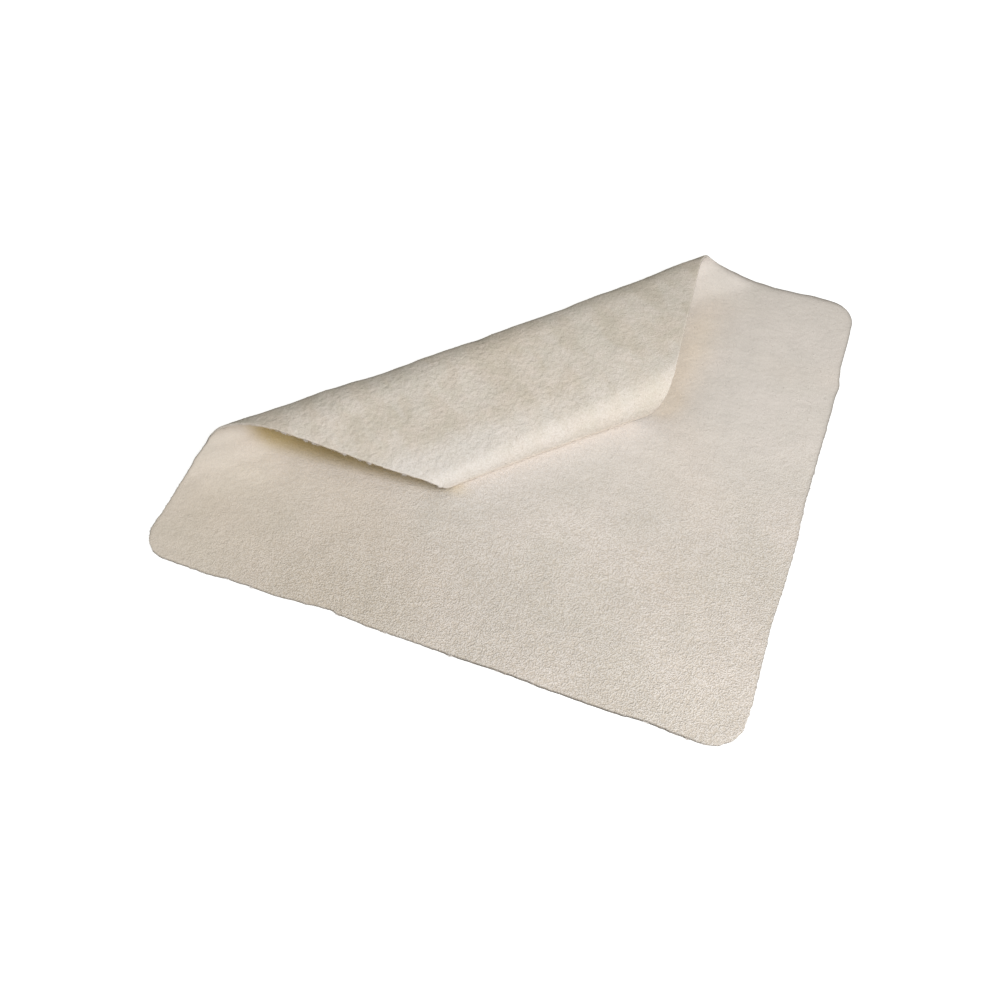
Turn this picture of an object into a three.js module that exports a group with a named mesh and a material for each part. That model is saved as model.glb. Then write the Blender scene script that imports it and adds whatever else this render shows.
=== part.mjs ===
import * as THREE from 'three';

// Chamois leather: one square piece that lies flat, with its back left corner rolled over
// towards the middle and the tip of that corner tucked under.
// Millimetres and degrees, +Z up, origin under the middle of the square, on the table.

// The flat piece.
const sheetWidth = 200;
const sheetThickness = 1;
const cornerRadius = 11;

// Where the roll lies: the direction of its axis from +X towards +Y, and the distance from
// the square corner to the line where the leather leaves the table.
const rollAxisAngle = 47;
const rollReach = 119;

// The roll in section, in order from that line to the tucked tip. A turn bends the leather
// up and over, and the turns of crown and curl follow from what is given here.
const heelLength = 4;
const heelAngle = 25;
const backLength = 5;
const backBendLength = 12;
const backBendAngle = 115;
const crownLength = 18;
const flapLength = 16;
const browLength = 18;
const browAngle = 20;
const curlLength = 8;
const tipAngle = 5;
const restingGap = 0.4;

// The section is larger towards both ends of the roll, and more so to the right.
const rollTaperShare = 0.11;
const rollFlareShare = 0.11;

// How finely the form is cut into flat faces.
const cornerSteps = 5;
const anglePerStep = 9;
const columns = 7;
const leastStep = 0.2;
const fullAngle = 360;
const solvingSteps = 40;

// Directions in plan: along the roll's axis, and across it towards the turned corner.
const halfWidth = sheetWidth / 2;
const axisRadians = THREE.MathUtils.degToRad(rollAxisAngle);
const along = new THREE.Vector2(Math.cos(axisRadians), Math.sin(axisRadians));
const across = new THREE.Vector2(-along.y, along.x);
const turnedCorner = new THREE.Vector2(-halfWidth, halfWidth);
const liftPoint = turnedCorner.clone().addScaledVector(across, -rollReach);

// A point of the flat sheet as its distances across and along the roll, from the lift line.
function toRollPlace(point) {
  const offset = point.clone().sub(liftPoint);
  return { across: offset.dot(across), along: offset.dot(along) };
}

// The stretches of the section. Each is an arc, or straight where its turn is 0.
function sectionStages(crownTurn) {
  const angleBeforeCurl = heelAngle + backBendAngle + crownTurn + browAngle;
  return [
    { length: heelLength, turn: heelAngle },
    { length: backLength, turn: 0 },
    { length: backBendLength, turn: backBendAngle },
    { length: crownLength, turn: crownTurn },
    { length: flapLength, turn: 0 },
    { length: browLength, turn: browAngle },
    { length: curlLength, turn: fullAngle + tipAngle - angleBeforeCurl },
  ];
}

// The place and slope after going a distance along one stage: an arc ends at its chord.
function advance(start, stage, distance) {
  const turned = (stage.turn * distance) / stage.length;
  const halfTurned = THREE.MathUtils.degToRad(turned) / 2;
  const chord = turned === 0 ? distance : (distance * Math.sin(halfTurned)) / halfTurned;
  const heading = THREE.MathUtils.degToRad(start.angle) + halfTurned;
  return {
    across: start.across + chord * Math.cos(heading),
    up: start.up + chord * Math.sin(heading),
    angle: start.angle + turned,
  };
}

// The height of the lowest point of the curl, where the leather runs level again.
function curlHeight(crownTurn) {
  const stages = sectionStages(crownTurn);
  const curl = stages.pop();
  let place = { across: 0, up: 0, angle: 0 };
  for (const stage of stages) {
    place = advance(place, stage, stage.length);
  }
  const levelDistance = (curl.length * (fullAngle - place.angle)) / curl.turn;
  return advance(place, curl, levelDistance).up;
}

// The crown turns until the curl rests on the sheet below it, found by halving.
function solveCrownTurn() {
  const restingHeight = sheetThickness + restingGap;
  let low = 0;
  let high = fullAngle / 2 - heelAngle;
  for (let step = 0; step < solvingSteps; step += 1) {
    const middle = (low + high) / 2;
    if (curlHeight(middle) > restingHeight) {
      low = middle;
    } else {
      high = middle;
    }
  }
  return (low + high) / 2;
}

const rollStages = sectionStages(solveCrownTurn());

// The section at a distance from the lift line: flat before it, and straight after the curl.
function sectionAt(distance) {
  let place = { across: Math.min(distance, 0), up: 0, angle: 0 };
  let left = Math.max(distance, 0);
  for (const stage of rollStages) {
    const used = Math.min(left, stage.length);
    place = advance(place, stage, used);
    left -= used;
  }
  return advance(place, { length: sheetWidth, turn: 0 }, left);
}

// The outline of the flat sheet, a square with round corners.
function sheetOutline() {
  const inner = halfWidth - cornerRadius;
  const quarter = Math.PI / 2;
  const path = new THREE.Path();
  path.absarc(-inner, -inner, cornerRadius, 2 * quarter, 3 * quarter);
  path.absarc(inner, -inner, cornerRadius, 3 * quarter, 4 * quarter);
  path.absarc(inner, inner, cornerRadius, 0, quarter);
  path.absarc(-inner, inner, cornerRadius, quarter, 2 * quarter);
  return path.curves
    .filter((curve) => curve.isEllipseCurve)
    .flatMap((curve) => curve.getPoints(cornerSteps))
    .map(toRollPlace);
}

// Distances from the lift line at which the sheet is cut across: at each point of the
// outline, and through the roll at every few degrees of its turns.
function stationDistances(outline) {
  const distances = outline.map((place) => place.across);
  let start = 0;
  for (const stage of rollStages) {
    const steps = Math.max(1, Math.ceil(stage.turn / anglePerStep));
    for (let step = 0; step < steps; step += 1) {
      distances.push(start + (stage.length * step) / steps);
    }
    start += stage.length;
  }
  distances.push(start);
  return distances
    .sort((a, b) => a - b)
    .filter((distance, index, all) => index === 0 || distance - all[index - 1] > leastStep);
}

// The two ends of the cut across the sheet at a distance from the lift line.
function cutEnds(outline, distance) {
  const crossings = [];
  outline.forEach((from, index) => {
    const to = outline[(index + 1) % outline.length];
    const span = to.across - from.across;
    const share = span === 0 ? 0 : (distance - from.across) / span;
    if (share >= 0 && share <= 1) {
      crossings.push(THREE.MathUtils.lerp(from.along, to.along, share));
    }
  });
  return { low: Math.min(...crossings), high: Math.max(...crossings) };
}

// A point of the leather, offset from its middle layer along the normal of the section.
function leatherPoint(distance, alongAxis, offset) {
  const share = alongAxis / halfWidth;
  const growth = 1 + rollTaperShare * share + rollFlareShare * share * share;
  const section = sectionAt(distance / growth);
  const slope = THREE.MathUtils.degToRad(section.angle);
  const acrossPlace = section.across * growth - offset * Math.sin(slope);
  const height = sheetThickness / 2 + section.up * growth + offset * Math.cos(slope);
  const plan = liftPoint.clone();
  plan.addScaledVector(along, alongAxis);
  plan.addScaledVector(across, acrossPlace);
  return new THREE.Vector3(plan.x, plan.y, height);
}

// One closed shell: rows of points on both faces of the leather, joined round its edge.
function buildLeather() {
  const outline = sheetOutline();
  const vertices = [];
  const triangles = [];

  const addTriangle = (a, b, c) => {
    if (a !== b && b !== c && c !== a) {
      triangles.push(a, b, c);
    }
  };
  const addQuad = (a, b, c, d) => {
    addTriangle(a, b, c);
    addTriangle(a, c, d);
  };
  const addPoint = (distance, alongAxis, offset) => {
    vertices.push(...leatherPoint(distance, alongAxis, offset).toArray());
    return vertices.length / 3 - 1;
  };
  // A row that has no width is one point, used for every column.
  const addRow = (distance, offset) => {
    const ends = cutEnds(outline, distance);
    const first = addPoint(distance, ends.low, offset);
    const row = [first];
    for (let column = 1; column <= columns; column += 1) {
      const alongAxis = THREE.MathUtils.lerp(ends.low, ends.high, column / columns);
      row.push(ends.high > ends.low ? addPoint(distance, alongAxis, offset) : first);
    }
    return row;
  };

  const distances = stationDistances(outline);
  const upper = distances.map((distance) => addRow(distance, sheetThickness / 2));
  const lower = distances.map((distance) => addRow(distance, -sheetThickness / 2));
  const lastRow = distances.length - 1;
  for (let row = 0; row < lastRow; row += 1) {
    const next = row + 1;
    for (let column = 0; column < columns; column += 1) {
      const right = column + 1;
      addQuad(upper[row][column], upper[row][right], upper[next][right], upper[next][column]);
      addQuad(lower[row][column], lower[next][column], lower[next][right], lower[row][right]);
    }
    addQuad(lower[row][0], upper[row][0], upper[next][0], lower[next][0]);
    addQuad(lower[row][columns], lower[next][columns], upper[next][columns], upper[row][columns]);
  }
  for (let column = 0; column < columns; column += 1) {
    const right = column + 1;
    addQuad(lower[0][column], lower[0][right], upper[0][right], upper[0][column]);
    addQuad(lower[lastRow][column], upper[lastRow][column], upper[lastRow][right], lower[lastRow][right]);
  }

  const geometry = new THREE.BufferGeometry();
  geometry.setAttribute('position', new THREE.Float32BufferAttribute(vertices, 3));
  geometry.setIndex(triangles);
  geometry.computeVertexNormals();
  return geometry;
}

const suede = new THREE.MeshStandardMaterial({ color: '#ded5c5', roughness: 1, metalness: 0 });
const leather = new THREE.Mesh(buildLeather(), suede);
leather.name = 'chamois_leather';

const chamois = new THREE.Group();
chamois.add(leather);

export default chamois;
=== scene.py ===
import math

import bpy
import numpy as np
from mathutils import Matrix, Vector


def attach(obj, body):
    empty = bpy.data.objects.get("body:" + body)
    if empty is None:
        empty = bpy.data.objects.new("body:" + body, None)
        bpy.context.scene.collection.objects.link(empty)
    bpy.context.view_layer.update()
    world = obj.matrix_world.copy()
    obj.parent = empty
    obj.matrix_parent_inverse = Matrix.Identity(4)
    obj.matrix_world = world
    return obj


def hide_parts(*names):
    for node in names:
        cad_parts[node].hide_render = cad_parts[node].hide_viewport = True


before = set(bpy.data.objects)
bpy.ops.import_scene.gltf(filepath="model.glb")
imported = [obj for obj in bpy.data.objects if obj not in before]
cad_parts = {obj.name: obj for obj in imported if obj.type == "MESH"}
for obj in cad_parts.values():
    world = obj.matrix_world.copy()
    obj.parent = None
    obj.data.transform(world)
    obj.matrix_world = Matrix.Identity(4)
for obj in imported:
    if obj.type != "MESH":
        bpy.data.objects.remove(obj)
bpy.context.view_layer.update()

# A square chamois leather that lies flat, with one corner rolled over and its tip tucked under.
# Metres, +Z up, the origin under the middle of the square. Its flat coordinates run from
# -0.1 to 0.1 both ways, and the rolled corner is the one at (-0.1, 0.1).

mm = 0.001
leatherNode = "chamois_leather"


# shared helpers

# The value at a share of the way from the first to the second.
def between(first, second, share):
    return first + (second - first) * share


# 0 below low, 1 above high, and between them 3t^2 - 2t^3 of the share t of the way.
def smoothStep(low, high, values):
    share = np.clip((values - low) / (high - low), 0.0, 1.0)
    return share * share * (3.0 - 2.0 * share)


# A rise over one pair of places, times 1 less a rise over another pair.
def plateau(rising, falling, values):
    return smoothStep(*rising, values) * (1.0 - smoothStep(*falling, values))


# A bell curve: e to the power of minus the square of the distance over its reach.
def bell(distance, reach):
    return np.exp(-((distance / reach) ** 2))


# A table's values at its places, and between two of them 3t^2 - 2t^3 of the way across.
def easedCurve(table, where):
    places, values = np.array(table, dtype=float).T
    index = np.clip(np.searchsorted(places, where) - 1, 0, len(places) - 2)
    share = smoothStep(places[index], places[index + 1], where)
    return between(values[index], values[index + 1], share)


# A sum of cosines with random directions and phases, and wavelengths between the two lengths,
# divided by the root of half their count, so that its values stay near -1 to 1.
def waveSum(seed, count, lengths, first, second):
    rng = np.random.default_rng(seed)
    total = np.zeros(np.broadcast(first, second).shape)
    for _ in range(count):
        heading = rng.uniform(0.0, 2.0 * math.pi)
        number = 2.0 * math.pi / rng.uniform(*lengths)
        phase = rng.uniform(0.0, 2.0 * math.pi)
        total += np.cos(number * (first * math.cos(heading) + second * math.sin(heading)) + phase)
    return total / math.sqrt(count / 2.0)


# An object of the scene, at the origin.
def addObject(name, data):
    added = bpy.data.objects.new(name, data)
    bpy.context.scene.collection.objects.link(added)
    return added


# A mesh object, with a place on the flat layout for each corner of its faces.
def makePiece(name, points, faces, material, corners=None):
    mesh = bpy.data.meshes.new(name)
    mesh.from_pydata(points.tolist(), [], faces.tolist())
    mesh.materials.append(material)
    mesh.polygons.foreach_set("use_smooth", np.ones(len(mesh.polygons), dtype=bool))
    if corners is not None:
        mesh.uv_layers.new(name="flatLayout").data.foreach_set("uv", corners.ravel())
    mesh.update()
    return addObject(name, mesh)


# the form of the leather

leather = {
    "side": 200 * mm,
    "thickness": 1.0 * mm,
    "cornerRadius": 11 * mm,
    "edgeRounding": 0.45 * mm,  # how far in from the cut the nap rounds over
    "edgeShare": 0.5,  # thickness at the very edge, as a share of the whole
    "lowerEdgeShare": 0.9,  # the same for the lower half where the sheet lies flat
    "liesUntil": (8 * mm, 22 * mm),  # across the roll, where lying flat ends
    "gridLines": 206,
    "edgeLines": (0.06, 0.16, 0.32, 0.55),  # extra lines near the cut, in mm
}

# painted shade on the cut and the nap beside it, with the pairs of places where a shade fades
cutShades = {
    "reach": 0.35 * mm,  # how far in from the cut its painted shade reaches
    "upperShare": 0.68,  # how much of it shows from above
    "least": 0.52,  # how much of it shows at the left
    "fullShadeFrom": (-10 * mm, 20 * mm),  # from left to right, to where all of it shows
    "cornerFade": 0.8,  # how much of it fades out round the front right corner
    "cornerFadeFrom": (82 * mm, 94 * mm),
    "cornerFadeUntil": (-92 * mm, -76 * mm),  # from front to back
    "outlineShadeBack": (0.98, 0.95 * mm),  # how dark the painted shade along the cut is, and how far in it fades
    "outlineShadeSides": (0.92, 0.30 * mm),  # to a share of 1 / e
    "backFrom": (88 * mm, 97 * mm),
    "sidesFrom": (94 * mm, 97 * mm),
    "rightFrom": (-50 * mm, 20 * mm),  # from front to back on the right side
}

roll = {
    "axisAngle": math.radians(47),  # direction of the roll's axis from +X towards +Y
    "reach": 119 * mm,  # from the square corner to the line where it lifts
    "taperShare": 0.11,  # how much the section grows along the axis, evenly
    "flareShare": 0.11,  # and how much towards both ends
    "tipAngle": 5,  # slope of the tucked tip, in degrees
    "restingHeight": 1.1 * mm,  # of the curl's middle layer over the sheet's
    "leftEnd": -62 * mm,  # where along the axis each end's section holds
    "rightEnd": 52 * mm,
    "stations": 9,  # sections worked out from the left end to the right
    "longest": 160 * mm,  # how far from the lift line each is worked out
    "samples": 1600,  # and at how many places
    "crownTurns": (10.0, 110.0),  # degrees between which the crown's turn is looked for
    "halvings": 24,
}

# the roll in section: length in mm at the left end and the right, and turn in degrees at both,
# from the lift line; the turns of crown and curl follow from where the curl rests
rollStretches = {
    "heel": (4.8, 4.7, 23.9, 23.6),
    "back": (5.4, 5.5, 0.0, 0.0),
    "backBend": (8.8, 8.1, 108.0, 102.4),
    "crown": (18.2, 13.8, None, None),
    "flap": (19.25, 17.35, 0.0, 0.0),
    "brow": (16.1, 15.9, 2.3, 5.3),
    "curl": (9.7, 27.8, None, None),
}

# how far each cut edge strays outwards from straight, in mm, at places along it in mm
cutEdges = {
    "front": (
        (-92, 0.15), (-73, 0.2), (-65, -0.5), (-50, -0.3), (-41, -1.0), (-34, -1.65),
        (-30.8, -1.7), (-28, -1.1), (-17, -0.5), (10, -0.3), (25, -0.5), (43, 0.05), (60, 0.2),
        (73, -0.3), (83, 0.3),
    ),
    "right": (
        (-90, 0.15), (-81, 0.45), (-70, 0.1), (-53, -0.25), (-37, 0.35), (-21, 0.6),
        (-1, -0.1), (12, 0.1), (20, 0.1), (35, 0.3), (50, 0.35), (55, 0.75), (60, 0.0),
        (65, -0.55), (80, -0.5), (90, -0.8),
    ),
    "back": ((20, 0.1), (60, 0.0), (67, -0.5), (76, -0.3), (82, 0.3), (90, 0.0)),
    "left": (
        (-95, -0.35), (-84, -0.3), (-73, 0.15), (-63, 0.0), (-54, -0.45), (-47, -0.35),
        (-38, 0.0), (10, 0.15),
    ),
    "inset": 0.16,  # mm by which every side lies further in, for its fuzz
    "reach": 14 * mm,  # how far in from the cut the stray fades away
    "fineStray": 0.075 * mm,
    "fineWaves": (21, 18, (1.8 * mm, 7 * mm)),  # seed, number, shortest and longest
    "cleaner": 0.65,  # how much less ragged the cut is at the back
    "cleanerFrom": (10 * mm, 70 * mm),
}

# how the sheet bends out of flat, apart from the roll; the waves are given as for the cut
ripples = {
    "broadHeight": 0.13 * mm,
    "broadWaves": (31, 12, (24 * mm, 60 * mm)),
    "dimpleHeight": 0.047 * mm,
    "dimpleWaves": (37, 26, (7 * mm, 15 * mm)),
    "rollShare": 1.2,  # how much stronger they are on the roll
    "rollFrom": (-4 * mm, 12 * mm),  # across, to where they are the roll's
    "raisedShare": 0.9,  # of the broad height, by which the lying sheet's are raised
    "contactWidth": 7 * mm,  # how far either side of the curl's line they are calm
    "tuckedFrom": (-12 * mm, -4 * mm),  # from where the curl rests: calm past it
}

# painted shade and painted light in and beside the fold; each pair of places is where a shade
# fades
fold = {
    "mouthLine": (-78.7 * mm, -0.92),  # across where the painted shade starts, and its slope
    "mouthFade": (-5.5 * mm, 3 * mm),  # to either side of that line
    "leftFade": (-101 * mm, -91 * mm),  # along the roll, both ends of the painted shade
    "rightFade": (-47 * mm, -36 * mm),
    "curlFade": 4 * mm,  # how far before the curl's line the lower face's starts
    "seenRise": math.radians(55.6),  # how steeply the fold is looked into
    "contactReach": 1.6 * mm,  # how far out of the fold the painted glow reaches on the sheet
    "foldGlowShare": 0.22,  # how strong the painted glow is there, as a share of the curl's
    "curlReach": 2.0 * mm,  # the same reach up the curl
    "contactLeft": (-50 * mm, -40 * mm),  # along the roll, both ends of it
    "contactRight": (40 * mm, 50 * mm),
    "brightReach": 14 * mm,  # how far before it the sheet has painted light
    "brightRight": (28 * mm, 41 * mm),  # along the roll, the right end of that
    "browBright": (0.65, 0.2),  # the same on the brow at the roll's left end and right
    "browFrom": (56 * mm, 66 * mm),  # from the lift line, to where the brow is
    "browEnds": (-60 * mm, 30 * mm),
}

# how deep the nap stands, as shares of its full depth, and where it goes from short to full
nap = {
    "short": 0.15,
    "full": 1.3,
    "lower": 0.42,  # depth all over the lower face
    "upperTufts": 1.15,  # depth of the broader tufts on each face
    "shortTufts": 0.6,  # share of it where the upper nap is short
    "lowerTufts": 1.8,
    "rightTufts": 1.1,  # the same at the right end of the roll
    "tuftEnds": (-20 * mm, 50 * mm),  # along the roll, between both depths
    "lowerPale": (-0.25, 0.6),  # how much paler the lower face is at the roll's two ends
    "paleEnds": (-60 * mm, 40 * mm),
    "mostPale": 1.5,  # most that patches add up to, either way
    "heading": 0.351,  # radians, the way it deepens, from the front to the right
    "deepens": (-20 * mm, 100 * mm),
    "deepensAside": (-125 * mm, -25 * mm),
}

# warmer patches of the upper face: middle and radius in mm, and amount
# the first three are the skin's own tone, the rest painted glow beside the roll's right end
warmToneAndGlowPatches = (
    (-88, -80, 42, 0.7), (-45, -68, 28, 0.16), (-20, -95, 26, 0.28), (46, 78, 8, 0.35),
    (45, 66, 8, 0.7), (45, 53, 8, 0.85), (44, 40, 8, 0.85), (43, 28, 8, 0.7),
    (43, 25, 6, 0.9), (40, 19, 5, 0.9), (35, 14, 3, 0.6),
)

# paler and darker patches, mostly painted light and painted shade, partly the skin's own tone
paintedLightAndTonePatches = (
    (-79, -59, 9, 0.95), (-68, -60, 9, 0.6), (-56, -54, 8, 0.8), (-40, -51, 9, 0.8),
    (-22, -49, 9, 0.9), (-24, -43, 5, 0.8), (-13, -42, 6, 0.4), (-78, -50, 6, 0.6),
    (-62, -51, 6, 0.5), (-80, -42, 5, -0.8), (80, 96, 26, 0.15), (50, 92, 12, 0.6),
    (45, 66, 8, 0.8), (45, 50, 8, 0.7), (44, 34, 8, 0.3), (43, 25, 6, -0.6),
    (39, 19, 5, -0.5), (-97, -49, 6, -1.0), (-89, -61, 7, 0.5), (78, -83, 18, 0.5),
    (30, -54, 20, 0.45), (76, -53, 16, 0.2),
)

# faint creases: centre and direction in mm and degrees, then length, width and height in mm
creases = (
    ((68, 60), 7, 42, 2.2, 0.10),
    ((86, 60), -4, 12, 1.4, -0.10),
    ((58, -29), 12, 26, 2.6, 0.09),
    ((52, -36), 20, 14, 2.0, -0.06),
    ((-84, -53), 47, 64, 8.0, 1.1),
    ((89, -84), 15, 9, 0.9, 0.14),
)


halfSide = leather["side"] / 2.0
halfThickness = leather["thickness"] / 2.0
sectionStep = roll["longest"] / (roll["samples"] - 1)


# One section as arrays: the slope is the sum of the turns so far, and the place is the running
# sum of its cosine and sine.
def sectionArrays(lengths, turns):
    distance = np.linspace(0.0, roll["longest"], roll["samples"])
    slope = np.zeros(roll["samples"])
    start = 0.0
    for length, turn in zip(lengths, turns):
        slope += math.radians(turn) * np.clip((distance - start) / (length * mm), 0.0, 1.0)
        start += length * mm
    middle = (slope[1:] + slope[:-1]) / 2.0
    across = np.concatenate([[0.0], np.cumsum(np.cos(middle)) * sectionStep])
    up = np.concatenate([[0.0], np.cumsum(np.sin(middle)) * sectionStep])
    return slope, across, up


# The section at a share of the way from the left end to the right: lengths and turns go evenly
# from one end's to the other's, and the crown's turn is halved towards the one at which the
# curl, where it is level again, has the resting height. After the arrays come the distance and
# the place across at which it rests, and its radius, which is its length over its turn.
def sectionOf(share):
    ends = np.array([[value or 0.0 for value in stretch] for stretch in rollStretches.values()])
    lengths = between(ends[:, 0], ends[:, 1], share)
    turns = between(ends[:, 2], ends[:, 3], share)
    crown, curl = (list(rollStretches).index(name) for name in ("crown", "curl"))
    low, high = roll["crownTurns"]
    for _ in range(roll["halvings"]):
        turns[crown] = (low + high) / 2.0
        turns[curl] = 0.0
        turns[curl] = 360.0 + roll["tipAngle"] - turns.sum()
        slope, across, up = sectionArrays(lengths, turns)
        level = int(np.argmax(slope >= 2.0 * math.pi))
        if up[level] > roll["restingHeight"]:
            low = turns[crown]
        else:
            high = turns[crown]
    radius = lengths[curl] * mm / math.radians(turns[curl])
    return slope, across, up, level * sectionStep, across[level], radius


# a table of each of these, with a row or a value for every section
slopeTable, acrossTable, upTable, curlDistance, curlAcross, curlRadius = (
    np.array(values) for values in zip(*map(sectionOf, np.linspace(0.0, 1.0, roll["stations"]))))
alongAxis = np.array([math.cos(roll["axisAngle"]), math.sin(roll["axisAngle"])])
acrossAxis = np.array([-alongAxis[1], alongAxis[0]])
liftPoint = np.array([-0.5, 0.5]) * leather["side"] - acrossAxis * roll["reach"]


# A flat point's distances across and along the roll, and how large the section is there:
# 1 + taper s + flare s^2, with s the share of half a side along the axis.
def rollPlace(x, y):
    across = (x - liftPoint[0]) * acrossAxis[0] + (y - liftPoint[1]) * acrossAxis[1]
    along = (x - liftPoint[0]) * alongAxis[0] + (y - liftPoint[1]) * alongAxis[1]
    share = along / halfSide
    return across, along, 1.0 + roll["taperShare"] * share + roll["flareShare"] * share * share


# The share of the way from the roll's left end to its right.
def endShare(along):
    return np.clip((along - roll["leftEnd"]) / (roll["rightEnd"] - roll["leftEnd"]), 0.0, 1.0)


# A value that is known for each section, between the two nearest along the roll.
def alongRoll(values, along):
    return np.interp(endShare(along), np.linspace(0.0, 1.0, roll["stations"]), values)


# A table's value between its two nearest sections and its two nearest distances.
def lookUp(table, share, distance):
    station = share * (roll["stations"] - 1)
    row = np.minimum(station.astype(int), roll["stations"] - 2)
    sample = distance / sectionStep
    column = np.minimum(sample.astype(int), roll["samples"] - 2)
    across, down = sample - column, station - row
    nearer = table[row, column] * (1.0 - across) + table[row, column + 1] * across
    further = table[row + 1, column] * (1.0 - across) + table[row + 1, column + 1] * across
    return nearer * (1.0 - down) + further * down


# The flat sheet: each grid square of a corner is drawn in to a quarter disc, where
# x = r a sqrt(1 - b^2 / 2) and y = r b sqrt(1 - a^2 / 2) from the corner's centre.
def roundedSquare(first, second):
    radius = leather["cornerRadius"]
    inner = halfSide - radius
    a = np.clip((np.abs(first) - inner) / radius, 0.0, 1.0)
    b = np.clip((np.abs(second) - inner) / radius, 0.0, 1.0)
    fromMiddleX = np.minimum(np.abs(first), inner) + radius * a * np.sqrt(1.0 - b * b / 2.0)
    fromMiddleY = np.minimum(np.abs(second), inner) + radius * b * np.sqrt(1.0 - a * a / 2.0)
    return np.sign(first) * fromMiddleX, np.sign(second) * fromMiddleY


# How ragged the cut is: a share of 1 that falls towards the back.
def raggedShare(y):
    return 1.0 - cutEdges["cleaner"] * smoothStep(*cutEdges["cleanerFrom"], y)


# The cut as the scissors left it: each side moves outwards by its eased curve and by fine
# waves, and the move fades to nothing within the reach.
def strayedCut(x, y):
    fine = cutEdges["fineStray"] * waveSum(*cutEdges["fineWaves"], x, y) * raggedShare(y)
    moved = {}
    sides = (("front", -y, x), ("right", x, y), ("back", y, x), ("left", -x, y))
    for name, outward, place in sides:
        fade = 1.0 - smoothStep(0.0, cutEdges["reach"], halfSide - outward)
        stray = (easedCurve(cutEdges[name], place / mm) - cutEdges["inset"]) * mm
        moved[name] = (stray + fine) * fade
    return x + moved["right"] - moved["left"], y + moved["back"] - moved["front"]


# How far the sheet stands off its plain form: broad waves and dimples that only lift where it
# lies flat, and creases whose height is a bell curve across and fades at both ends.
def rippleHeight(x, y):
    across, along, growth = rollPlace(x, y)
    onRoll = smoothStep(*ripples["rollFrom"], across)
    broad = ripples["broadHeight"] * waveSum(*ripples["broadWaves"], x, y)
    dimples = ripples["dimpleHeight"] * waveSum(*ripples["dimpleWaves"], x, y)
    waves = (broad + dimples) * (1.0 + (ripples["rollShare"] - 1.0) * onRoll)
    for centre, angle, length, width, height in creases:
        turn = math.radians(angle)
        fromCentreX, fromCentreY = x - centre[0] * mm, y - centre[1] * mm
        down = fromCentreX * math.cos(turn) + fromCentreY * math.sin(turn)
        aside = fromCentreY * math.cos(turn) - fromCentreX * math.sin(turn)
        ended = smoothStep(length * mm / 4, length * mm / 2, np.abs(down))
        waves = waves + height * mm * bell(aside, width * mm) * (1.0 - ended)
    resting = bell(across - alongRoll(curlAcross, along) * growth, ripples["contactWidth"])
    curled = alongRoll(curlDistance, along)
    start, end = ripples["tuckedFrom"]
    tucked = smoothStep(curled + start, curled + end, across / growth)
    calm = (1.0 - resting) * (1.0 - tucked)
    lying = np.maximum(waves + ripples["broadHeight"] * ripples["raisedShare"], 0.0)
    return (lying * (1.0 - onRoll) + waves * onRoll) * calm


# A point of the flat sheet where the rolled sheet has it: straight before the lift line,
# along the section after it, and off the middle layer along the normal of the section. None
# goes into the table.
def placeOnSheet(x, y, offset):
    across, along, growth = rollPlace(x, y)
    used = np.clip(across, 0.0, None) / growth
    share = endShare(along)
    slope = lookUp(slopeTable, share, used)
    run = np.where(across < 0.0, across, lookUp(acrossTable, share, used) * growth)
    rise = lookUp(upTable, share, used) * growth
    raised = offset + rippleHeight(x, y)
    run = run - raised * np.sin(slope)
    height = np.maximum(halfThickness + rise + raised * np.cos(slope), 0.0)
    plan = liftPoint + along[..., None] * alongAxis + run[..., None] * acrossAxis
    return np.concatenate([plan, height[..., None]], axis=-1)


layout = {
    "span": 200 / 0.48 * mm,  # length of the layout's side: a face takes 0.48 of it
    "upperMiddle": (0.25, 0.5),
    "lowerMiddle": (0.75, 0.5),
}


# The place on the flat layout: both faces lie side by side on it at the same scale.
def layoutPlace(x, y, lower):
    middles = np.where(np.asarray(lower)[..., None], layout["lowerMiddle"], layout["upperMiddle"])
    return np.stack([x, y], axis=-1) / layout["span"] + middles


# The values of the upper face's points, and after them those of the lower face's.
def bothFaces(upper, lower):
    return np.concatenate([upper.ravel(), lower.ravel()])


# Where the curl and the sheet stop showing in the fold: for a curl of radius r that is looked
# into at an angle a, r tan(a / 2) before the line of contact, and r a before it up the curl.
def foldLines(along, growth):
    onSheet = curlAcross - curlRadius * math.tan(fold["seenRise"] / 2.0)
    onCurl = curlDistance - curlRadius * fold["seenRise"]
    return alongRoll(onSheet, along) * growth, alongRoll(onCurl, along) * growth


# Three shares for each point of both faces: the painted shade in the roll's left mouth, the
# painted glow deep in the fold, with half a bell curve out of it, and the painted light on the
# sheet in a bell curve about the line of contact and on the roll from the brow on.
def foldShares(x, y):
    across, along, growth = rollPlace(x, y)
    start, slope = fold["mouthLine"]
    fromLine = (across - start - slope * along) / math.hypot(1.0, slope)
    curled = alongRoll(curlDistance, along) * growth
    mouth = plateau(fold["leftFade"], fold["rightFade"], along)
    below = smoothStep(*fold["mouthFade"], fromLine)
    outside = smoothStep(curled - fold["curlFade"], curled, across)
    sheetLine, curlLine = foldLines(along, growth)
    seen = plateau(fold["contactLeft"], fold["contactRight"], along)
    onSheet = bell(np.maximum(sheetLine - across, 0.0), fold["contactReach"])
    onCurl = bell(np.maximum(curlLine - across, 0.0), fold["curlReach"])
    foldLight = bell(across - alongRoll(curlAcross, along) * growth, fold["brightReach"])
    brow = smoothStep(*fold["browFrom"], across / growth)
    return (
        bothFaces(below * mouth, outside * mouth),
        bothFaces(onSheet * seen * fold["foldGlowShare"], onCurl * seen),
        # painted light on the sheet before the fold and on the brow
        bothFaces(
            foldLight * plateau(fold["contactLeft"], fold["brightRight"], along),
            brow * between(*fold["browBright"], smoothStep(*fold["browEnds"], along)),
        ),
    )


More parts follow.
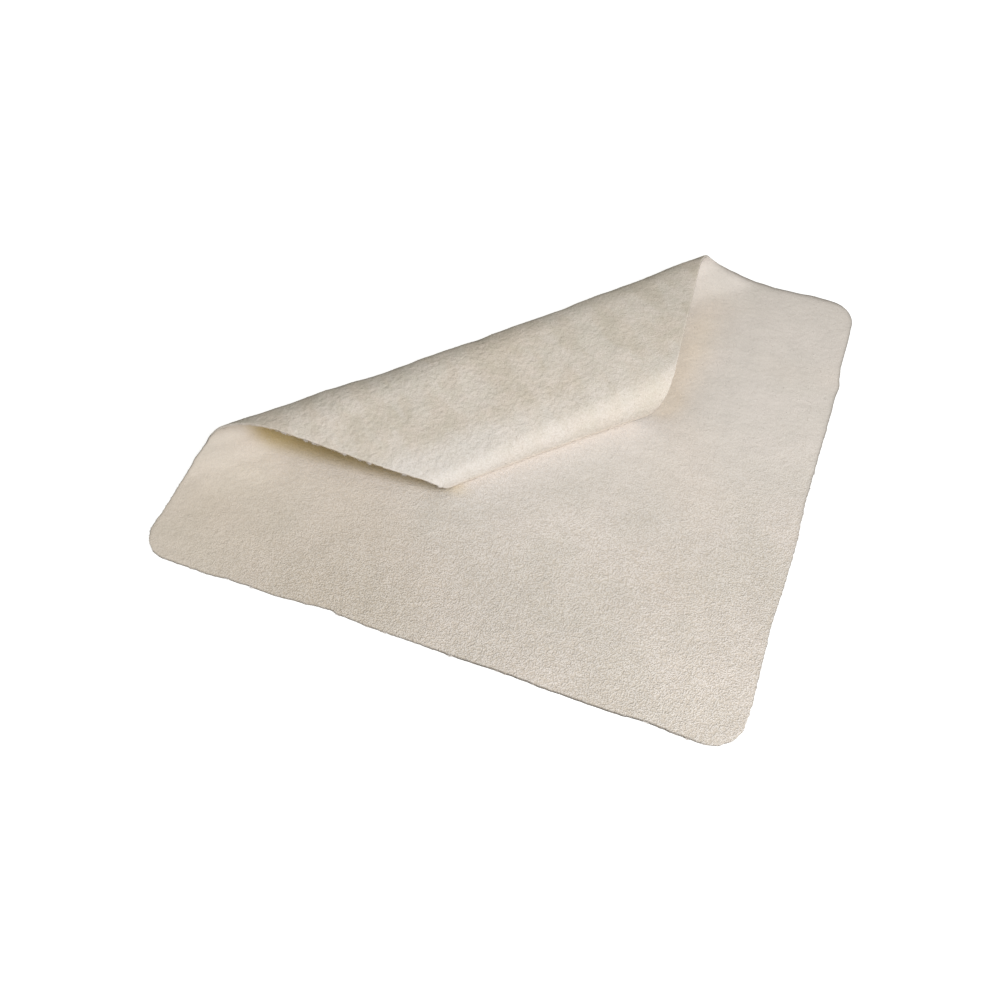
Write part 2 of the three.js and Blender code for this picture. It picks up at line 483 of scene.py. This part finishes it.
# How far each point of the upper face takes a tint: the sum of soft round patches. The lower
# face has its own share.
def patchShare(patches, x, y, lower):
    total = np.zeros(x.shape)
    for centreX, centreY, radius, amount in patches:
        apart = ((x / mm - centreX) ** 2 + (y / mm - centreY) ** 2) / radius ** 2
        total = total + amount * np.exp(-apart)
    return bothFaces(np.clip(total, -nap["mostPale"], nap["mostPale"]), lower + 0.0 * total)


# How deep the clumps and the broader tufts stand on both faces: short where the skin is worn
# flat, and full towards the front right.
def napShares(x, y):
    ahead = x * math.sin(nap["heading"]) - y * math.cos(nap["heading"])
    full = smoothStep(*nap["deepens"], ahead) * smoothStep(*nap["deepensAside"], x)
    atRight = smoothStep(*nap["tuftEnds"], rollPlace(x, y)[1])
    lowerTufts = between(nap["lowerTufts"], nap["rightTufts"], atRight)
    return (
        bothFaces(between(nap["short"], nap["full"], full), np.full(x.shape, nap["lower"])),
        bothFaces(nap["upperTufts"] * between(nap["shortTufts"], 1.0, full), lowerTufts),
    )


# How much painted shade the cut takes: most towards the right of the front edge, and less
# round the corner there.
def paintedCutShade(x, y):
    atRight = smoothStep(*cutShades["cornerFadeFrom"], x)
    cornerFade = atRight * (1.0 - smoothStep(*cutShades["cornerFadeUntil"], y))
    shadeShown = between(cutShades["least"], 1.0, smoothStep(*cutShades["fullShadeFrom"], x))
    return shadeShown * (1.0 - cutShades["cornerFade"] * cornerFade)


# How much painted shade lines the cut: at the back, on the left and on the right's far
# half, each fading as e to the power of minus the distance from the cut over its reach.
def outlineShadeShare(x, y, fromEdge):
    share, reach = cutShades["outlineShadeBack"]
    atBack = share * smoothStep(*cutShades["backFrom"], y) * np.exp(-fromEdge / reach)
    share, reach = cutShades["outlineShadeSides"]
    aside = np.where(x < 0.0, 1.0, smoothStep(*cutShades["rightFrom"], y))
    aside = aside * smoothStep(*cutShades["sidesFrom"], np.abs(x))
    return np.maximum(atBack, share * aside * np.exp(-fromEdge / reach))


# The shares that the material reads at each point. The cut's painted shade fades evenly inwards.
def leatherShades(x, y, fromEdge, flatShare):
    # painted shade on the cut, only where the sheet lies flat
    shadedCut = np.clip(1.0 - fromEdge / cutShades["reach"], 0.0, 1.0) * flatShare
    shadedCut = shadedCut * paintedCutShade(x, y)
    # painted shade along the back and side cuts
    outlineShade = outlineShadeShare(x, y, fromEdge) * flatShare
    # painted shade in the mouth, painted glow in the fold, and painted light before it
    mouthShade, foldGlow, foldLight = foldShares(x, y)
    lowerPale = between(*nap["lowerPale"], smoothStep(*nap["paleEnds"], rollPlace(x, y)[1]))
    clumps, tufts = napShares(x, y)
    return {
        "cutShadeShare": bothFaces(np.maximum(shadedCut * cutShades["upperShare"], outlineShade), shadedCut),
        "mouthShadeShare": mouthShade,
        "foldGlowShare": foldGlow,
        "foldLightShare": foldLight,
        "warmToneAndGlowShare": patchShare(warmToneAndGlowPatches, x, y, 0.0),
        "paintedLightAndToneShare": patchShare(paintedLightAndTonePatches, x, y, lowerPale),
        "napShare": clumps,
        "tuftShare": tufts,
    }


# Grid lines from edge to edge of the sheet, closer together beside both edges.
def gridPositions():
    near = np.array([0.0, *leather["edgeLines"]]) * mm
    inner = halfSide - 2.0 * near[-1]
    even = np.linspace(-inner, inner, leather["gridLines"])
    return np.concatenate([-halfSide + near, even, halfSide - near[::-1]])


# Both faces on one grid, half a thickness either side of the middle layer, with the thickness
# rounding down towards the cut, and a rim of faces that joins them. On the flat layout the rim
# goes outwards from the upper face's outline by the thickness.
def leatherShell():
    lines = gridPositions()
    first, second = np.meshgrid(lines, lines, indexing="ij")
    fromEdge = halfSide - np.maximum(np.abs(first), np.abs(second))
    x, y = strayedCut(*roundedSquare(first, second))
    flatShare = 1.0 - smoothStep(*leather["liesUntil"], rollPlace(x, y)[0])
    rounding = np.clip(1.0 - fromEdge / leather["edgeRounding"], 0.0, 1.0)
    half = halfThickness * between(leather["edgeShare"], 1.0, np.sqrt(1.0 - rounding ** 2))
    lying = halfThickness * (1.0 - (1.0 - leather["lowerEdgeShare"]) * rounding)
    upper = placeOnSheet(x, y, half)
    lower = placeOnSheet(x, y, -between(half, lying, flatShare))
    points = np.concatenate([upper.reshape(-1, 3), lower.reshape(-1, 3)])
    count = len(lines)
    below = count * count
    index = np.arange(below).reshape(count, count)
    quads = np.stack([index[:-1, :-1], index[1:, :-1], index[1:, 1:], index[:-1, 1:]], axis=-1)
    quads = quads.reshape(-1, 4)
    ring = np.concatenate([index[:-1, 0], index[-1, :-1], index[:0:-1, -1], index[0, :0:-1]])
    following = np.roll(ring, -1)
    rim = np.stack([ring + below, following + below, following, ring], axis=-1)
    faces = np.concatenate([quads, quads[:, ::-1] + below, rim])
    flat = np.concatenate([layoutPlace(x, y, face).reshape(-1, 2) for face in (False, True)])
    outward = np.stack([x.ravel()[ring], y.ravel()[ring]], axis=-1)
    outward = outward / np.linalg.norm(outward, axis=-1, keepdims=True)
    outward = outward * leather["thickness"] / layout["span"]
    still = np.zeros(outward.shape)
    corners = flat[faces]
    corners[2 * len(quads):] = flat[rim % below] + np.stack(
        [outward, np.roll(outward, -1, axis=0), still, still], axis=1)
    return points, faces, corners, leatherShades(x, y, fromEdge, flatShare)


# materials; a noise is given by its scale, detail, roughness and distortion, and a ramp by the
# two values that it goes between and what it makes of them

white = (1.0, 1.0, 1.0, 1.0)

suede = {
    "light": (0.751, 0.696, 0.660, 1.0),
    "cool": (0.709, 0.663, 0.623, 1.0),
    "warm": (0.741, 0.674, 0.620, 1.0),
    # the warm patches' tint: the skin's tone, and painted glow beside the roll's right end
    "warmTint": (1.025, 0.97, 0.88, 1.0),
    "paleness": 0.10,  # how much lighter a whole share of paleness is, mostly painted light
    "cutShadeColour": (0.075, 0.056, 0.037, 1.0),  # painted shade on the cut and along its edge
    "mouthShadeColour": (0.620, 0.503, 0.280, 1.0),  # painted warm shade in the mouth of the roll
    "foldGlow": (0.97, 0.88, 0.78, 1.0),  # painted warm glow where the roll touches the sheet
    "foldLight": (0.761, 0.724, 0.707, 1.0),  # painted light before the fold and on the brow
    "clumpSize": 1.0,  # mm across a clump of nap
    "clumpDepth": 0.32 * mm,  # how much relief a height of 1 makes
    "clumpShare": 0.85,  # how much of it the clumps make
    "gapShadeTint": (0.82, 0.79, 0.74, 1.0),  # painted shade in the gaps between clumps
    "edgeOnShade": (0.72, 0.98),  # from nearly to quite edge on, where painted shade darkens the nap
    "edgeOnShadeTint": (0.44, 0.42, 0.38, 1.0),  # and the painted shade's tint
    "roughness": (0.6, 1.05, 0.98, 0.88),
    "specular": 0.2,
    "sheen": 0.08,
    "sheenRoughness": 0.6,
}

# the lower face, which the roll turns up: spots and streaks as noise and ramp, with their tints
lowerFace = {
    "tint": (0.982, 0.968, 0.944, 1.0),
    "spots": ((0.2, 3.0, 0.6, 0.4), (0.62, 0.38, 0.0, 1.0)),
    "spotTint": (0.925, 0.925, 0.885, 1.0),
    "streaks": ((0.11, 2.0, 0.5, 0.4), (0.60, 0.40, 0.0, 1.0)),  # they run across the roll
    "streakTint": (0.945, 0.93, 0.90, 1.0),
    "streakShare": 0.4,  # their width as a share of their length
}

fibre = {
    "wisps": (1.4, 2.0, 0.6),
    "shade": (0.3, 0.7, 0.98, 1.08),
    "roughness": (0.2, 0.8, 0.8, 0.95),
}

# the relief of the nap, for clumps of size 1
grain = {
    "cells": {"Scale": 2.3, "Smoothness": 0.7, "Randomness": 1.0},
    "dome": -1.1,  # height for each distance from the middle of a cell
    "crumple": (3.8, 2.0, 0.5),
    "crumpleHeight": 0.5,
    "tufts": (0.55, 1.5, 0.45),
    "gap": (-0.42, -0.12, 1.0, 0.0),
}

# the tones of the skin, each as noise and ramp
tones = {
    "patches": ((0.034, 2.0, 0.5, 0.6), (0.32, 0.68, 0.0, 1.0)),
    "warmth": ((0.021, 1.0, 0.5, 0.3), (0.5, 0.8, 0.0, 0.7)),
    "blotches": ((0.15, 3.0, 0.6, 0.5), (0.3, 0.7, 0.975, 1.02)),
}


# Links each of a node's inputs to the socket given for it, or sets it to the value.
def fillInputs(tree, node, inputs):
    for key, value in inputs.items():
        if isinstance(value, bpy.types.NodeSocket):
            tree.links.new(value, node.inputs[key])
        else:
            node.inputs[key].default_value = value


# A node with its settings and its inputs.
def addNode(tree, kind, inputs=None, **settings):
    node = tree.nodes.new("ShaderNode" + kind)
    for key, value in settings.items():
        setattr(node, key, value)
    fillInputs(tree, node, inputs or {})
    return node


def addMath(tree, operation, first, second=0.0):
    return addNode(tree, "Math", {0: first, 1: second}, operation=operation).outputs[0]


def addScaled(tree, vector, factor):
    node = addNode(tree, "VectorMath", {0: vector, "Scale": factor}, operation="SCALE")
    return node.outputs[0]


# A value that goes evenly between two others, eased at both ends.
def addRamp(tree, value, low, high, toLow, toHigh):
    node = addNode(tree, "MapRange", {
        "Value": value, "From Min": low, "From Max": high, "To Min": toLow, "To Max": toHigh,
    }, interpolation_type="SMOOTHSTEP")
    return node.outputs["Result"]


def addMix(tree, share, first, second, blend="MIX"):
    inputs = {0: share, 6: first, 7: second}
    node = addNode(tree, "Mix", inputs, data_type="RGBA", blend_type=blend)
    return node.outputs[2]


# A colour times another.
def addTint(tree, colour, tint):
    return addMix(tree, 1.0, colour, tint, "MULTIPLY")


def addGrey(tree, value):
    return addNode(tree, "CombineColor", {0: value, 1: value, 2: value}).outputs[0]


# One of the shares that the leather's points carry.
def addShare(tree, name):
    return addNode(tree, "Attribute", attribute_name=name).outputs["Fac"]


def addNoise(tree, position, scale, detail, roughness, distortion=0.0):
    node = addNode(tree, "TexNoise", {
        "Vector": position, "Scale": scale, "Detail": detail,
        "Roughness": roughness, "Distortion": distortion,
    })
    return node.outputs["Fac"]


# A noise as a ramp makes it.
def addPattern(tree, position, noise, ramp):
    return addRamp(tree, addNoise(tree, position, *noise), *ramp)


def newGroup(name, inputs, outputs):
    tree = bpy.data.node_groups.new(name, "ShaderNodeTree")
    for direction, sockets in (("INPUT", inputs), ("OUTPUT", outputs)):
        for label, kind in sockets.items():
            tree.interface.new_socket(label, in_out=direction, socket_type="NodeSocket" + kind)
    return tree, tree.nodes.new("NodeGroupInput").outputs, tree.nodes.new("NodeGroupOutput")


# The nap's relief: round clumps from a soft cell pattern with finer crumpling on top, and the
# broader tufts on their own. Valley is 1 in the gaps between clumps.
def napReliefGroup():
    tree, given, out = newGroup(
        "napRelief",
        {"Position": "Vector", "Clump Size": "Float"},
        {"Height": "Float", "Broad": "Float", "Valley": "Float"},
    )
    perClump = addMath(tree, "DIVIDE", 1.0, given["Clump Size"])
    place = addScaled(tree, given["Position"], perClump)
    cells = addNode(tree, "TexVoronoi", {"Vector": place, **grain["cells"]}, feature="SMOOTH_F1")
    dome = addMath(tree, "MULTIPLY", cells.outputs["Distance"], grain["dome"])
    crumple = addNoise(tree, place, *grain["crumple"])
    crumple = addMath(tree, "MULTIPLY", crumple, grain["crumpleHeight"])
    height = addMath(tree, "ADD", dome, crumple)
    fillInputs(tree, out, {
        "Height": addMath(tree, "ADD", height, 1.0),
        "Broad": addNoise(tree, place, *grain["tufts"]),
        "Valley": addRamp(tree, height, *grain["gap"]),
    })
    return tree


# The colour of the skin: two tones in large soft patches, a warmer one in other patches, and
# all of it a little lighter and darker in smaller blotches.
def skinToneGroup():
    tree, given, out = newGroup(
        "skinTone",
        {"Position": "Vector", "Light": "Color", "Cool": "Color", "Warm": "Color"},
        {"Color": "Color"},
    )
    patches, warmth, blotches = (
        addPattern(tree, given["Position"], *pattern) for pattern in tones.values()
    )
    two = addMix(tree, patches, given["Cool"], given["Light"])
    three = addMix(tree, warmth, two, given["Warm"])
    fillInputs(tree, out, {"Color": addTint(tree, three, addGrey(tree, blotches))})
    return tree


# The flat layout as a position in mm, and 1 where it is the lower face.
def flatPosition(tree):
    uv = addNode(tree, "UVMap", uv_map="flatLayout").outputs[0]
    side = addNode(tree, "SeparateXYZ", {0: uv}).outputs[0]
    return addScaled(tree, uv, layout["span"] / mm), addMath(tree, "GREATER_THAN", side, 0.5)


def newMaterial(name):
    material = bpy.data.materials.new(name)
    material.use_nodes = True
    tree = material.node_tree
    return material, tree, tree.nodes["Principled BSDF"]


# The colour at a place of the leather. The lower face has its tint, darker spots, and streaks
# from noise whose place is drawn out across the roll.
def skinColour(tree, position, lower):
    given = {label: suede[label.lower()] for label in ("Light", "Cool", "Warm")}
    tone = addNode(tree, "Group", {"Position": position, **given}, node_tree=skinTone).outputs[0]
    spots = addPattern(tree, position, *lowerFace["spots"])
    spotted = addMix(tree, spots, lowerFace["tint"], lowerFace["spotTint"])
    along, across = (
        addNode(tree, "VectorMath", {0: position, 1: (*axis, 0.0)}, operation="DOT_PRODUCT")
        for axis in (alongAxis, acrossAxis)
    )
    narrowed = addMath(tree, "MULTIPLY", across.outputs["Value"], lowerFace["streakShare"])
    drawn = addNode(tree, "CombineXYZ", {0: along.outputs["Value"], 1: narrowed})
    streaks = addPattern(tree, drawn.outputs[0], *lowerFace["streaks"])
    streaked = addTint(tree, spotted, addMix(tree, streaks, white, lowerFace["streakTint"]))
    return addMix(tree, lower, tone, addTint(tree, tone, streaked))


# The nap: the skin's colour with painted shade in its gaps, warmer and paler patches that are
# partly painted light and shade, then the fold's painted light and shade over it, painted shade
# where it is seen edge on, and the fold's painted glow and the cut's painted shade last. Its
# relief is the clumps and the tufts, each times how deep they stand.
def suedeMaterial():
    material, tree, shader = newMaterial("chamoisSuede")
    position, lower = flatPosition(tree)
    given = {"Position": position, "Clump Size": suede["clumpSize"]}
    relief = addNode(tree, "Group", given, node_tree=napRelief)
    depth = addShare(tree, "napShare")
    # painted shade in the gaps between clumps, deeper where the nap stands deeper
    gaps = addMath(tree, "MULTIPLY", relief.outputs["Valley"], depth)
    gapShade = addMix(tree, gaps, white, suede["gapShadeTint"])
    skin = addTint(tree, skinColour(tree, position, lower), gapShade)
    # warm patches: the skin's tone, and painted glow beside the roll's right end
    skin = addMix(tree, addShare(tree, "warmToneAndGlowShare"), skin, addTint(tree, skin, suede["warmTint"]))
    # paler and darker patches: mostly painted light and painted shade, partly the skin's tone
    paler = addMath(tree, "MULTIPLY", addShare(tree, "paintedLightAndToneShare"), suede["paleness"])
    skin = addTint(tree, skin, addGrey(tree, addMath(tree, "ADD", 1.0, paler)))
    # painted light before the fold and on the brow, then painted shade in the roll's mouth
    for name, key in (("foldLightShare", "foldLight"), ("mouthShadeShare", "mouthShadeColour")):
        skin = addMix(tree, addShare(tree, name), skin, addTint(tree, suede[key], gapShade))
    # painted shade where the nap is seen edge on
    facing = addNode(tree, "LayerWeight", {"Blend": 0.5}).outputs["Facing"]
    edgeOnShade = addRamp(tree, facing, *suede["edgeOnShade"], 0.0, 1.0)
    skin = addMix(tree, edgeOnShade, skin, addTint(tree, skin, suede["edgeOnShadeTint"]))
    # the fold's painted glow, then the cut's painted shade
    for name, key in (("foldGlowShare", "foldGlow"), ("cutShadeShare", "cutShadeColour")):
        skin = addMix(tree, addShare(tree, name), skin, suede[key])
    clumps = addMath(tree, "MULTIPLY", depth, suede["clumpShare"])
    clumps = addMath(tree, "MULTIPLY", relief.outputs["Height"], clumps)
    tufts = addMath(tree, "MULTIPLY", relief.outputs["Broad"], addShare(tree, "tuftShare"))
    bump = addNode(tree, "Bump", {
        "Strength": 1.0,
        "Distance": suede["clumpDepth"],
        "Height": addMath(tree, "ADD", clumps, tufts),
    })
    fillInputs(tree, shader, {
        "Base Color": skin,
        "Roughness": addRamp(tree, relief.outputs["Height"], *suede["roughness"]),
        "Normal": bump.outputs[0],
        "Specular IOR Level": suede["specular"],
        "Sheen Weight": suede["sheen"],
        "Sheen Roughness": suede["sheenRoughness"],
    })
    return material


# The fibres: the skin's colour, a little darker and lighter in wisps.
def fibreMaterial():
    material, tree, shader = newMaterial("chamoisFibre")
    position, lower = flatPosition(tree)
    wisps = addNoise(tree, position, *fibre["wisps"])
    shade = addGrey(tree, addRamp(tree, wisps, *fibre["shade"]))
    fillInputs(tree, shader, {
        "Base Color": addTint(tree, skinColour(tree, position, lower), shade),
        "Roughness": addRamp(tree, wisps, *fibre["roughness"]),
        "Specular IOR Level": suede["specular"],
        "Sheen Weight": suede["sheen"],
    })
    return material


napRelief = napReliefGroup()
skinTone = skinToneGroup()
fibreFinish = fibreMaterial()
print("materials made")

points, faces, corners, shares = leatherShell()
leatherPiece = makePiece("chamoisLeather", points, faces, suedeMaterial(), corners)
for name, values in shares.items():
    leatherPiece.data.attributes.new(name, "FLOAT", "POINT").data.foreach_set("value", values)
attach(leatherPiece, "root")
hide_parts(leatherNode)
print("leather:", len(points), "points,", len(faces), "faces")


# fibres

hair = {
    "middleWidth": 0.72,  # how wide it is half way, as a share of its root
    "bend": 0.35,  # share of its rise that is lost at the tip
}

cutFuzz = {
    "seed": 51,
    "count": 5200,
    "length": (0.25 * mm, 0.95 * mm),
    "radius": (0.022 * mm, 0.05 * mm),
    "rootInset": 0.12 * mm,  # how far in from the cut the roots are
    "rootOffset": (-0.36, 0.42),  # where between the faces, as shares of the thickness
    "fan": 0.75,  # radians, how far they spread from straight outwards
    "rise": (0.12, 0.22),  # height gained for each length run, and its spread
    "tuftShare": 0.35,  # share of them that stand together in tufts
    "tufts": 70,
    "tuftSpread": 0.002,  # as a share of a side
    "lumpHairs": 70,
    "lumpLength": (0.4 * mm, 0.95 * mm),
    "lumpRadius": 1.5,  # how much thicker they are in a lump, and how much steeper
    "lumpRise": 2.0,
    "liesUntil": 4 * mm,  # across the roll, as far as the sheet is near the table
    "leastTip": 0.12,  # how high a tip stays there, as a share of its length
}

# matted lumps on the cut: side, from 0 for the front to 3 for the left, place and spread in mm
cutLumps = (
    (3, -21.2, 0.5), (3, -13.5, 0.3), (3, -10.6, 0.5), (3, 0.0, 0.35), (3, 9.0, 0.3),
    (3, 21.2, 0.4), (3, 34.0, 0.4), (0, -57.8, 0.3), (0, -66.5, 0.35), (0, -11.5, 0.3),
    (0, 10.5, 0.4), (0, 72.5, 0.35), (0, 85.0, 0.3),
)

napFibres = {
    "upperSeed": 61,
    "lowerSeed": 71,
    "count": 12000,  # on each face
    "length": (0.5 * mm, 1.3 * mm),
    "radius": (0.025 * mm, 0.055 * mm),
    "rise": (0.08, 0.36),  # height gained for each length run along the face
    "edgeInset": 1.2 * mm,  # how far in from the cut the roots start
    "rootDepth": 0.03 * mm,  # how far below the face they are
    "raisedFrom": 7 * mm,  # across the roll, where the lower face is off the table
    "brushing": (8, (40 * mm, 90 * mm)),  # number of waves, shortest and longest
    "brushed": 1.6,  # radians that they turn the hairs by
    "heading": -1.0,  # radians from +X, and how far it spreads
    "spread": 0.9,
}

# three corners round a root ring and a middle ring, and one tip
fibreFaces = np.array([
    (0, 1, 4), (0, 4, 3), (1, 2, 5), (1, 5, 4), (2, 0, 3), (2, 3, 5),
    (3, 4, 6), (4, 5, 6), (5, 3, 6), (2, 1, 0),
])


# Tapered hairs as arrays. A hair starts at its root on the flat sheet and runs its length along
# its heading, while its offset from the middle layer goes by rise (1 - bend t) t of its length.
# Rings of three corners stand round it at the root and half way, and it ends in a point.
def fibreMesh(rootX, rootY, rootOffset, heading, lengths, rise, radius, lower):
    rings = (3, 3, 1)
    share = np.repeat([0.0, 0.5, 1.0], rings)
    width = np.repeat([1.0, hair["middleWidth"], 0.0], rings)
    around = np.radians([210.0, 330.0, 90.0, 210.0, 330.0, 90.0, 90.0])
    aside = radius[:, None] * width * np.cos(around)
    above = radius[:, None] * width * np.sin(around)
    ahead = lengths[:, None] * share
    climb = rise[:, None] * ahead * (1.0 - hair["bend"] * share)
    facing = np.where(lower, -1.0, 1.0)[:, None]
    cosine, sine = np.cos(heading)[:, None], np.sin(heading)[:, None]
    x = rootX[:, None] + ahead * cosine - aside * sine * facing
    y = rootY[:, None] + ahead * sine + aside * cosine * facing
    points = placeOnSheet(x, y, rootOffset[:, None] + (climb + above) * facing)
    firsts = len(share) * np.arange(len(rootX))
    faces = (fibreFaces[None] + firsts[:, None, None]).reshape(-1, 3)
    corners = np.repeat(layoutPlace(rootX, rootY, lower), fibreFaces.size, axis=0)
    return points.reshape(-1, 3), faces[:, ::-1], corners


# The nap of one face: hairs at random places whose headings follow slow waves of brushing.
def napMesh(seed, lower):
    rng = np.random.default_rng(seed)
    inner = halfSide - napFibres["edgeInset"]
    x, y = roundedSquare(*rng.uniform(-inner, inner, (2, napFibres["count"])))
    if lower:
        raised = rollPlace(x, y)[0] > napFibres["raisedFrom"]
        x, y = x[raised], y[raised]
    count = len(x)
    brushed = napFibres["brushed"] * waveSum(seed + 1, *napFibres["brushing"], x, y)
    heading = brushed + rng.normal(0.0, napFibres["spread"], count) + napFibres["heading"]
    lengths, radius, rise = (
        rng.uniform(*napFibres[key], count) for key in ("length", "radius", "rise"))
    side = np.full(count, lower)
    offset = np.where(side, -1.0, 1.0) * (halfThickness - napFibres["rootDepth"])
    return fibreMesh(x, y, offset, heading, lengths, rise, radius, side)


# The fuzz of the cut: hairs with their roots along the outline and between both faces, pointing
# outwards within a fan, some of them gathered in tufts and lumps. A place on the outline is a
# number from 0 to 4, whose whole part is the side.
def fuzzMesh():
    rng = np.random.default_rng(cutFuzz["seed"])
    count = cutFuzz["count"]
    half = halfSide - cutFuzz["rootInset"]
    around = rng.uniform(0.0, 4.0, count)
    gathered = rng.random(count) < cutFuzz["tuftShare"]
    centres = rng.uniform(0.0, 4.0, cutFuzz["tufts"])
    tufted = centres[rng.integers(0, len(centres), count)]
    tufted = tufted + rng.normal(0.0, cutFuzz["tuftSpread"], count)
    around = np.where(gathered, tufted, around)
    side = np.floor(around).astype(int) % 4
    place = (around - np.floor(around)) * 2.0 * half - half
    matted = np.zeros(count, dtype=bool)
    perLump = cutFuzz["lumpHairs"]
    for index, (lumpSide, lumpPlace, spread) in enumerate(cutLumps):
        hairs = slice(index * perLump, (index + 1) * perLump)
        side[hairs] = lumpSide
        place[hairs] = rng.normal(lumpPlace, spread, perLump) * mm
        matted[hairs] = True
    far = np.full(count, half)
    x, y = roundedSquare(
        np.choose(side, [place, far, place, -far]), np.choose(side, [-far, place, far, place]))
    middle = halfSide - leather["cornerRadius"]
    outward = np.arctan2(y - np.clip(y, -middle, middle), x - np.clip(x, -middle, middle))
    x, y = strayedCut(x, y)
    heading = outward + rng.normal(0.0, cutFuzz["fan"], count)
    lengths = rng.uniform(*cutFuzz["length"], count) * raggedShare(y)
    lengths = np.where(matted, rng.uniform(*cutFuzz["lumpLength"], count), lengths)
    radius = rng.uniform(*cutFuzz["radius"], count) * np.where(matted, cutFuzz["lumpRadius"], 1.0)
    offset = rng.uniform(*cutFuzz["rootOffset"], count) * leather["thickness"]
    rise = rng.normal(*cutFuzz["rise"], count) * np.where(matted, cutFuzz["lumpRise"], 1.0)
    lying = rollPlace(x, y)[0] < cutFuzz["liesUntil"]
    rootHeight = (offset + halfThickness - radius) / lengths
    leastRise = (cutFuzz["leastTip"] - rootHeight) / (1.0 - hair["bend"])
    rise = np.where(lying, np.maximum(rise, leastRise), rise)
    return fibreMesh(x, y, offset, heading, lengths, rise, radius, np.zeros(count, dtype=bool))


for name, (points, faces, corners) in (
    ("cutFuzz", fuzzMesh()),
    ("upperNap", napMesh(napFibres["upperSeed"], False)),
    ("rolledNap", napMesh(napFibres["lowerSeed"], True)),
):
    piece = makePiece(name, points, faces, fibreFinish, corners)
    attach(piece, "root")
    print(name + ":", len(faces), "faces")


# floor, light and camera

stage = {
    "floorSize": 6.0,
    "floorColour": (0.9, 0.9, 0.9, 1.0),
    "shadow": (0.11, 0.20, 0.38, 0.0),  # ramp from distance to the seen share of its lit shade
    "floorGlow": 1.34,
    "worldStrength": 0.325,
    "worldColour": (1.0, 0.98, 0.86, 1.0),
}

keyLight = {
    "azimuth": math.radians(44.6),  # from -Y towards +X
    "elevation": math.radians(45.8),
    "distance": 0.457,
    "size": 0.32,
    "power": 1.8,
}

camera = {
    "target": (3.19 * mm, -37.94 * mm, 0.0),
    "azimuth": 0.351,  # radians, as the light's
    "elevation": 0.917,
    "roll": 0.016,
    "distance": 381.4 * mm,
    "focalLength": 40.69,  # in mm, as the sensor
    "sensorWidth": 36.0,
}


# A big pale floor. The camera sees a white that is part its own glow and part its lit shade,
# so that the open floor is just past white and the contact shadow stays.
def buildFloor():
    corners = np.array([(-1, -1, 0), (1, -1, 0), (1, 1, 0), (-1, 1, 0)]) * stage["floorSize"] / 2.0
    material, tree, shader = newMaterial("paleFloor")
    fillInputs(tree, shader, {"Base Color": stage["floorColour"], "Roughness": 1.0})
    shaded = addNode(tree, "BsdfDiffuse", {"Color": white})
    glow = addNode(tree, "Emission", {"Color": white, "Strength": stage["floorGlow"]})
    place = addNode(tree, "TexCoord").outputs["Object"]
    away = addNode(tree, "VectorMath", {0: place}, operation="LENGTH").outputs["Value"]
    share = addRamp(tree, away, *stage["shadow"])
    seen = addNode(tree, "MixShader", {0: share, 1: glow.outputs[0], 2: shaded.outputs[0]})
    path = addNode(tree, "LightPath")
    mixed = addNode(tree, "MixShader", {
        0: path.outputs["Is Camera Ray"], 1: shader.outputs[0], 2: seen.outputs[0],
    })
    tree.links.new(mixed.outputs[0], tree.nodes["Material Output"].inputs["Surface"])
    floor = makePiece("floor", corners, np.array([[0, 1, 2, 3]]), material)


# A soft even world: white wherever it is seen, plainer where it lights.
def buildWorld():
    world = bpy.data.worlds.new("studio")
    bpy.context.scene.world = world
    world.use_nodes = True
    tree = world.node_tree
    path = addNode(tree, "LightPath").outputs
    sees = addMath(tree, "MAXIMUM", path["Is Camera Ray"], path["Is Glossy Ray"])
    sees = addMath(tree, "MAXIMUM", sees, path["Is Transmission Ray"])
    fillInputs(tree, tree.nodes["Background"], {
        "Color": addMix(tree, sees, stage["worldColour"], white),
        "Strength": addMath(tree, "MAXIMUM", sees, stage["worldStrength"]),
    })


# The direction out to an azimuth a and an elevation e: sin a cos e, -cos a cos e, and sin e up.
def outwardTo(azimuth, elevation):
    level = math.cos(elevation)
    return Vector((math.sin(azimuth) * level, -math.cos(azimuth) * level, math.sin(elevation)))


# One soft round light, which faces the middle of the square.
def buildKeyLight():
    outward = outwardTo(keyLight["azimuth"], keyLight["elevation"])
    data = bpy.data.lights.new("keyLight", "AREA")
    data.shape = "DISK"
    data.size = keyLight["size"]
    data.energy = keyLight["power"]
    lamp = addObject("keyLight", data)
    lamp.location = outward * keyLight["distance"]
    lamp.rotation_euler = outward.to_track_quat("Z", "Y").to_euler()


# The camera, turned about its view by the roll: its right is level cos + upward sin, and its up
# is upward cos - level sin.
def buildCamera():
    back = outwardTo(camera["azimuth"], camera["elevation"])
    level = Vector((math.cos(camera["azimuth"]), math.sin(camera["azimuth"]), 0.0))
    upward = back.cross(level)
    cosine, sine = math.cos(camera["roll"]), math.sin(camera["roll"])
    right = level * cosine + upward * sine
    up = upward * cosine - level * sine
    data = bpy.data.cameras.new("camera")
    data.lens = camera["focalLength"]
    data.sensor_width = camera["sensorWidth"]
    eye = addObject("camera", data)
    turn = Matrix((right, up, back)).transposed().to_4x4()
    place = Vector(camera["target"]) + back * camera["distance"]
    eye.matrix_world = Matrix.Translation(place) @ turn
    bpy.context.scene.camera = eye


buildFloor()
buildWorld()
buildKeyLight()
buildCamera()
bpy.context.scene.view_settings.view_transform = "Standard"
print("stage set")
